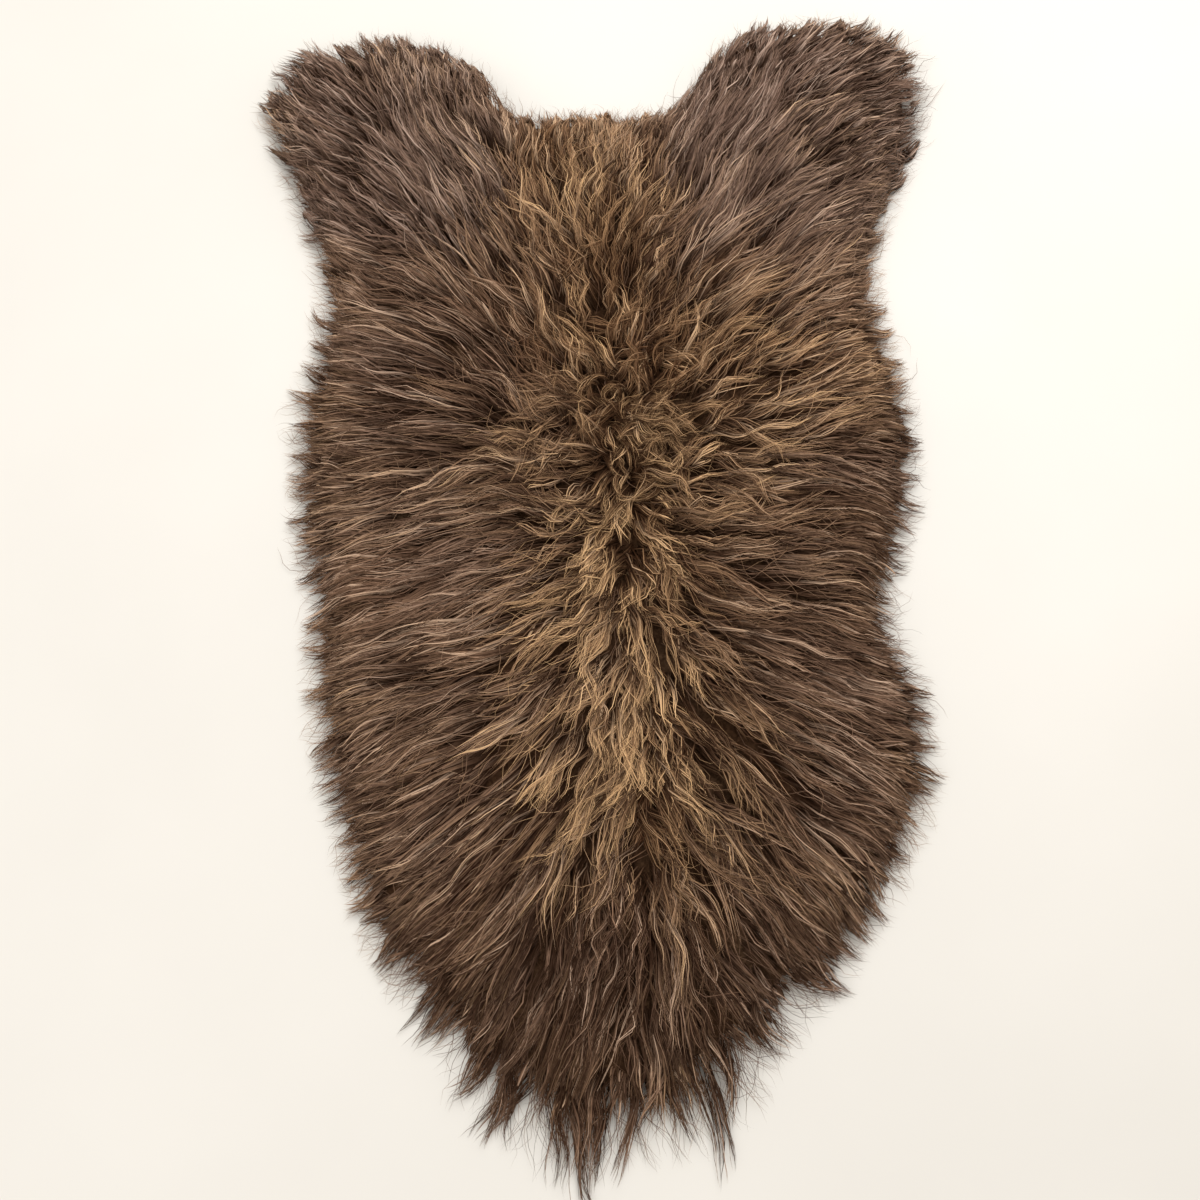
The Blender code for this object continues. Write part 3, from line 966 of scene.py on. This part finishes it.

# %% [markdown]
# ## Sun and age
#
# The wool is dark brown, and where light has reached it longest, its tips are bleached to gold: along
# the parting, on the band between the leg flaps and down the right side. The leg flaps and the left side
# keep a cooler, greyer brown, and the neck is darkest. Each strand gets its share of sun from where its
# tip lies, with soft patches by chance, and its own tone. Strands on the crest of a lock, in the middle
# of a pointed tuft and in the upper layers are then made lighter and more golden, and those in the lower
# layers darker. That lighter and darker tone is painted light and shade; the extra gold is partly real
# bleaching of the most exposed wool and partly a painted highlight.


# %% Say how the colours lie on the pelt
SHADES = (
    # across, along, reach across, reach along, lighter or darker
    (0.062, 0.20, 0.05, 0.14, -0.13),
    (-0.10, 0.06, 0.06, 0.06, -0.10),
    (0.065, 0.04, 0.04, 0.06, -0.08),
    (0.06, -0.13, 0.04, 0.09, -0.10),
    (0.125, -0.29, 0.06, 0.07, -0.17),
    (-0.06, -0.38, 0.08, 0.06, -0.08),
    (0.01, -0.48, 0.19, 0.12, -0.23),
    (0.03, 0.09, 0.07, 0.06, -0.22),
    (-0.20, 0.40, 0.12, 0.11, 0.12),
    (0.16, 0.42, 0.07, 0.10, 0.10),
    (0.20, 0.24, 0.08, 0.07, 0.17),
    (0.19, 0.15, 0.09, 0.06, 0.08),
    (-0.18, 0.15, 0.09, 0.08, -0.05),
    (0.01, 0.02, 0.06, 0.06, -0.14),
    (-0.012, -0.03, 0.05, 0.055, -0.11),
    (-0.26, -0.01, 0.05, 0.10, 0.07),
    (-0.13, -0.09, 0.07, 0.08, 0.10),
    (-0.01, -0.18, 0.06, 0.09, 0.22),
    (0.01, 0.29, 0.08, 0.022, -0.14),
    # lighter tips in the notch between the leg flaps: painted light shining through the thin fringe
    (0.00, 0.47, 0.09, 0.035, 0.14),
    (-0.20, -0.12, 0.07, 0.12, 0.05),
    (-0.15, -0.30, 0.08, 0.08, 0.06),
)
SUNNY = (
    # across, along, reach across, reach along, bleached by
    (-0.005, 0.385, 0.085, 0.065, 0.95),
    (-0.12, 0.075, 0.06, 0.035, 0.55),
    (0.19, 0.16, 0.09, 0.11, 0.75),
    (0.03, 0.08, 0.09, 0.07, 0.20),
    (0.09, -0.25, 0.08, 0.10, 0.45),
    (0.08, -0.02, 0.05, 0.09, 0.25),
)


def sun_on(points):
    """How far the sun has bleached the wool at each place: 0 not at all, 1 much, 1.5 most."""
    x, y = across_parting(points), points[..., 1]
    low_back = np.exp(-(((x + 0.040) / 0.085) ** 2)) * ease(-0.40, -0.24, y)
    low_back = low_back * (1.0 - ease(-0.12, 0.10, y))
    strip = np.exp(-(((x + 0.022) / 0.028) ** 2)) * ease(0.10, 0.18, y) * (1.0 - ease(0.24, 0.28, y))
    sun = 1.90 * low_back + 0.85 * strip
    for *place, bleached in SUNNY:
        sun = sun + bleached * spot(points, *place)
    return np.clip(sun + 0.22 * drift(points, 0.06, 8) + 0.08, 0.0, 1.5)


def tone_on(points):
    """How light the brown is at each place, before the sun."""
    tone = 0.285 + 0.06 * drift(points, 0.09, 9)
    at_flanks = 1.0 - ease(0.10, 0.24, points[..., 1])
    tone = tone - 0.08 * at_flanks * (1.0 - ease(0.020, 0.080, read_map(from_rim, points)))
    for *place, lighter in SHADES:
        tone = tone + lighter * spot(points, *place)
    return tone


def warmth_on(points):
    """How warm the brown is at each place: warmest along the parting, cool on the leg flaps."""
    x, y = across_parting(points), points[..., 1]
    warm = 0.34 + 0.60 * np.exp(-((x / 0.13) ** 2)) * ease(-0.46, -0.30, y)
    warm = warm + 0.40 * spot(points, 0.190, 0.180, 0.120, 0.140)
    warm = warm - 0.60 * ease(0.26, 0.44, y) * ease(0.06, 0.14, np.abs(x))
    return np.clip(warm + 0.15 * drift(points, 0.05, 12), 0.0, 1.0)


print("sun in the middle of the low back:", sun_on(np.array((-0.02, -0.20))).round(2))

# %% Bleach and tone the strands
BRIGHT_SHARE = 0.24
BRIGHTER, DULLER = (0.15, 0.80), (-0.08, 0.05)

is_bright = chance.random(lock_count) < BRIGHT_SHARE
brighter = chance.uniform(*BRIGHTER, lock_count)
brighter = np.where(is_bright, brighter, chance.normal(*DULLER, lock_count))
# Bright locks are made brighter the higher they lie and towards the upper middle of the lock (its crest):
# a painted highlight on top of the lock's own lighter colour.
brighter = (brighter * (0.4 + 0.6 * level_of_lock))[lock_of]
crest = np.clip(over_lock + 0.3, 0.0, 1.0) * (1.0 - beside_lock**2)
brighter = brighter * np.where(brighter > 0.0, 0.45 + 1.35 * crest, 1.0)

# More bleach on the crest, in the upper layers and in the middle of pointed tufts: partly real bleaching
# of the most exposed wool, partly a painted highlight.
sun = sun_on(tips) * np.clip(0.75 + 0.25 * tuft_tone[tuft_of_strand], 0.1, 1.35)
sun = sun * (0.15 + 1.5 * crest) * (0.55 + 0.60 * level) * (0.75 + 1.4 * brighter)
sun = sun * (1.0 + 0.9 * pointed[tuft_of] * (0.6 - aside))[lock_of]
sun = np.clip(sun + chance.normal(0.0, 0.05, total), 0.0, 1.0)
# The tone rises with the layer, on the crest and in the middle of pointed tufts, and drops for strands
# under the top: painted light and painted shade.
tone = tone_on(tips) + brighter + 0.05 * tuft_tone[tuft_of_strand] + 0.22 * (level - 0.5)
tone = tone + chance.exponential(0.07, total) - 0.07
tone = tone + 0.40 * (crest - 0.40) - 0.08 * ~on_top
tone = tone + (0.32 * pointed[tuft_of] * (0.55 - aside))[lock_of]
tone = np.clip(tone, 0.0, 1.0)
warmth = warmth_on(tips)
print("mean sun", sun.mean().round(2), "mean tone", tone.mean().round(2))

# %% [markdown]
# ## Wool as a finish
#
# Strands, wisps and ground are all the same wool, so its colour is worked out in one node group. It
# takes how far along the fibre a point is, its tone, its sun and its warmth, and gives the colour and how
# rough the fibre is. Roots are dark, because little light gets down to them, and the bleach comes on
# towards the tips.

# %% Make the node group for wool
COOL_BROWNS = (0.050, 0.027, 0.018), (0.240, 0.148, 0.108), (0.520, 0.370, 0.290)
WARM_BROWNS = (0.046, 0.017, 0.006), (0.250, 0.130, 0.064), (0.600, 0.390, 0.235)

wool_group = bpy.data.node_groups.new("wool colour", "ShaderNodeTree")
for socket, kind, value in (
    ("Along", "NodeSocketFloat", 0.5),
    ("Tone", "NodeSocketFloat", 0.5),
    ("Sun", "NodeSocketFloat", 0.0),
    ("Warmth", "NodeSocketFloat", 1.0),
    ("Root Brown", "NodeSocketColor", (0.020, 0.008, 0.003, 1.0)),
    ("Gold", "NodeSocketColor", (0.800, 0.505, 0.255, 1.0)),
):
    made = wool_group.interface.new_socket(socket, in_out="INPUT", socket_type=kind)
    made.default_value = value
wool_group.interface.new_socket("Colour", in_out="OUTPUT", socket_type="NodeSocketColor")
wool_group.interface.new_socket("Roughness", in_out="OUTPUT", socket_type="NodeSocketFloat")

given = add_node(wool_group, "NodeGroupInput").outputs
shades = []
for stops in (COOL_BROWNS, WARM_BROWNS):
    ramp = add_node(wool_group, "ShaderNodeValToRGB", {"Fac": given["Tone"]})
    ramp.color_ramp.elements[0].color = (*stops[0], 1.0)
    ramp.color_ramp.elements[1].color = (*stops[2], 1.0)
    ramp.color_ramp.elements.new(0.45).color = (*stops[1], 1.0)
    shades.append(ramp.outputs["Color"])


def along_fibre(low, high):
    """A smooth step along the fibre, from 0 at low to 1 at high."""
    inputs = {"Value": given["Along"], "From Min": low, "From Max": high}
    step = add_node(wool_group, "ShaderNodeMapRange", inputs, interpolation_type="SMOOTHSTEP")
    return step.outputs[0]


brown = mixed(wool_group, given["Warmth"], *shades)
bleach_inputs = {0: along_fibre(0.20, 0.95), 1: given["Sun"]}
bleach = add_node(wool_group, "ShaderNodeMath", bleach_inputs, operation="MULTIPLY").outputs[0]
bleached = mixed(wool_group, bleach, brown, given["Gold"])
feed(
    wool_group,
    add_node(wool_group, "NodeGroupOutput"),
    Colour=mixed(wool_group, along_fibre(0.05, 0.75), given["Root Brown"], bleached),
    Roughness=ranged(wool_group, given["Along"], 0.75, 0.50),
)
print("wool colour:", len(wool_group.nodes), "nodes")


# %% Make the wool of the strands
def wool_material(name, **colours):
    """Wool for blades, which carry their own numbers, with some of the group's colours changed."""
    material, tree, shader = new_material(name, Specular_IOR_Level=0.05)
    fibre = add_node(tree, "ShaderNodeAttribute", attribute_name="fibre")
    warm = add_node(tree, "ShaderNodeAttribute", attribute_name="warmth")
    split = add_node(tree, "ShaderNodeSeparateXYZ", {0: fibre.outputs["Vector"]}).outputs
    flecks = ranged(tree, noise(tree, place_on(tree), 160.0, 2.0), -0.18, 0.18)
    flecked = add_node(tree, "ShaderNodeMath", {0: split["Y"], 1: flecks}, operation="ADD").outputs[0]
    wool = add_node(tree, "ShaderNodeGroup", node_tree=wool_group)
    feed(tree, wool, Along=split["X"], Tone=flecked, Sun=split["Z"], Warmth=warm.outputs["Fac"])
    for socket, colour in colours.items():
        wool.inputs[socket.replace("_", " ")].default_value = colour
    feed(tree, shader, Base_Color=wool.outputs["Colour"], Roughness=wool.outputs["Roughness"])
    return material


strand_wool = wool_material("strand wool")
print("strand wool made")

# %% Make the wool of the ground
painted_shade_felt, tree, shader = new_material("underwool", Specular_IOR_Level=0.04)
place = place_on(tree)
curls = noise(tree, place, 140.0, 4.0, Distortion=1.5)
patches = noise(tree, place, 14.0, 3.0)
wool = add_node(tree, "ShaderNodeGroup", node_tree=wool_group)
# The ground takes the wool's colour near its roots, dark with painted shade, since little light gets down
# between the locks.
feed(tree, wool, Along=ranged(tree, curls, 0.0, 0.34), Tone=patches)
feed(tree, shader, Base_Color=wool.outputs["Colour"], Roughness=wool.outputs["Roughness"])
feed(tree, shader, Normal=relief(tree, curls, 0.003, 0.8))
ground.data.materials.append(painted_shade_felt)
print("underwool:", len(tree.nodes), "nodes")

# %% [markdown]
# ## The coat's parts
#
# A furrier names the parts of a pelt by where they sat on the animal. The coat is laid in ten such
# pieces, which keeps each mesh small enough to export well.

# %% Divide the coat
TOP_WIDTH = (0.0005, 0.0011)
UNDER_WIDTH = (0.0012, 0.0020)
STRAND_ROLL = 0.70
BACK_BREADTH = 0.045
LEGS_FROM, MID_ALONG, SHOULDERS_TO = 0.26, 0.02, -0.19

width = chance.random(total)
slim = 1.0 - 0.30 * curly[tuft_of_strand]
roll = chance.uniform(-STRAND_ROLL, STRAND_ROLL, total)
beside, along = across_parting(roots), roots[:, 1]
right, back = beside > 0.0, on_top & (np.abs(beside) < BACK_BREADTH)
leg, shoulder = along > LEGS_FROM, along <= SHOULDERS_TO
outer = on_top & ~back
parts = {
    "upper_back_wool": back & (along > MID_ALONG),
    "lower_back_wool": back & (along <= MID_ALONG),
}
for part_name, chosen in (
    ("under_coat", ~on_top),
    ("leg_wool", outer & leg),
    ("side_wool", outer & ~leg & ~shoulder),
    ("shoulder_wool", outer & shoulder),
):
    parts["left_" + part_name] = chosen & ~right
    parts["right_" + part_name] = chosen & right
print("the coat's parts:", *parts)

# %% Lay them
coat = []
for part_name, chosen in parts.items():
    is_under = part_name.endswith("under_coat")
    blade, faces = (under_strand, UNDER_FACES) if is_under else (top_strand, TOP_FACES)
    narrow, broad = UNDER_WIDTH if is_under else TOP_WIDTH
    looks = (tone[chosen], sun[chosen], warmth[chosen])
    paths = set_out(np.flatnonzero(chosen), faces)
    widths = (narrow + (broad - narrow) * width[chosen]) * slim[chosen]
    piece = lay_blades(part_name, blade, paths, widths, roll[chosen], *looks)
    piece.data.materials.append(strand_wool)
    coat.append(piece)

# %% [markdown]
# ## Loose wisps
#
# Single fibres work loose from every lock. They stand off the coat as a fine haze, and at the rim they
# reach out over the floor, thin enough for light to redden them; that glow of light through them is
# painted into their colour as a lighter, redder brown. They are laid as the strands are, but each from a
# place of its own.

# %% Root the wisps
WISP_COUNT = 5200
RIM_WISP_SHARE = 0.50
RIM_BREADTH = 0.016

places = scattered(0.0050, -0.004)
rim_places = places[read_map(from_close_edge, places) < RIM_BREADTH]
at_rim = int(WISP_COUNT * RIM_WISP_SHARE)
roots_at_rim = rim_places[chance.integers(0, len(rim_places), at_rim)]
roots_inside = places[chance.integers(0, len(places), WISP_COUNT - at_rim)]
start = np.concatenate((roots_at_rim, roots_inside))
start = start + chance.uniform(-0.002, 0.002, start.shape)
print(at_rim, "of", WISP_COUNT, "wisps are at the rim")

# %% Walk them
WISP_ROWS = np.linspace(0.0, 1.0, WISP_FACES + 1)
WISP_PAST_RIM = 0.014

at_neck = 1.0 - ease(-0.46, -0.34, start[:, 1])
wisp_length = chance.uniform(0.020, 0.052, WISP_COUNT) * (1.0 + 0.8 * at_neck)
inside_length = chance.uniform(0.04, 0.09, WISP_COUNT)
wisp_length = np.where(np.arange(WISP_COUNT) < at_rim, wisp_length, inside_length)
wisp_turn = chance.normal(0.0, 0.22, WISP_COUNT)
wisp_curl = chance.normal(0.0, 0.50, WISP_COUNT)
wisp_wave = chance.uniform(0.1, 0.6, WISP_COUNT)
wisp_phase = chance.uniform(0.0, 2.0 * pi, WISP_COUNT)
wisp_walk = np.zeros((WISP_COUNT, WISP_FACES + 1, 2))
wisp_walk[:, 0] = start
for number, share in enumerate(WISP_ROWS[1:], 1):
    onwards = lie_of_wool(wisp_walk[:, number - 1])
    turn = wisp_turn + wisp_curl * share + wisp_wave * np.sin(2.6 * pi * share + wisp_phase)
    step = (wisp_length / WISP_FACES)[:, None]
    wisp_walk[:, number] = wisp_walk[:, number - 1] + step * turned_by(onwards, turn)
out = -read_map(from_rim, wisp_walk[:, -1])
too_far = np.clip((out - WISP_PAST_RIM) / wisp_length, 0.0, 0.8)[:, None, None]
wisp_walk = wisp_walk[:, :1] + (wisp_walk - wisp_walk[:, :1]) * (1.0 - too_far)
print("wisps are up to", wisp_length.max().round(3), "m long")

# %% Lay the wisps
WISP_WIDTH = (0.0003, 0.0006)
WISP_ROLL = 0.6

wisp_height = read_map(soft_height, wisp_walk) * 0.92 + 0.002
wisp_height += chance.uniform(0.000, 0.007, WISP_COUNT)[:, None] * WISP_ROWS
wisp_path = np.concatenate((wisp_walk, wisp_height[..., None]), -1)
tip = wisp_path[:, -1]
wisps = lay_blades(
    "loose_wisps",
    wisp,
    wisp_path,
    chance.uniform(*WISP_WIDTH, WISP_COUNT),
    chance.uniform(-WISP_ROLL, WISP_ROLL, WISP_COUNT),
    # A raised tone: painted light shining through the thin wisps.
    np.clip(tone_on(tip) + chance.normal(0.1, 0.15, WISP_COUNT), 0.0, 1.0),
    np.clip(sun_on(tip) * 0.8, 0.0, 1.0),
    warmth_on(tip),
)
# Lighter, redder roots than in the coat: painted light shining through the thin fibres, where the coat's
# dark roots are painted shade.
wisps.data.materials.append(wool_material("wisp wool", Root_Brown=(0.12, 0.07, 0.045, 1.0)))
coat.append(wisps)

# %% [markdown]
# ## Put together
#
# The three model blades have done their work and are removed. Everything lies still, so every piece
# rides on the one body. The skin takes the place of its solid and the woolly ground that of the fleece.
# The skin is a sheet of hide, laid flat, as large as it was cut, and the wool is on it.

for model in (top_strand, under_strand, wisp):
    bpy.data.objects.remove(model)
for piece in (hide, ground, *coat):
    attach(piece, "root")
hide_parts("skin")
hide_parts("fleece")
print("pieces:", 2 + len(coat))
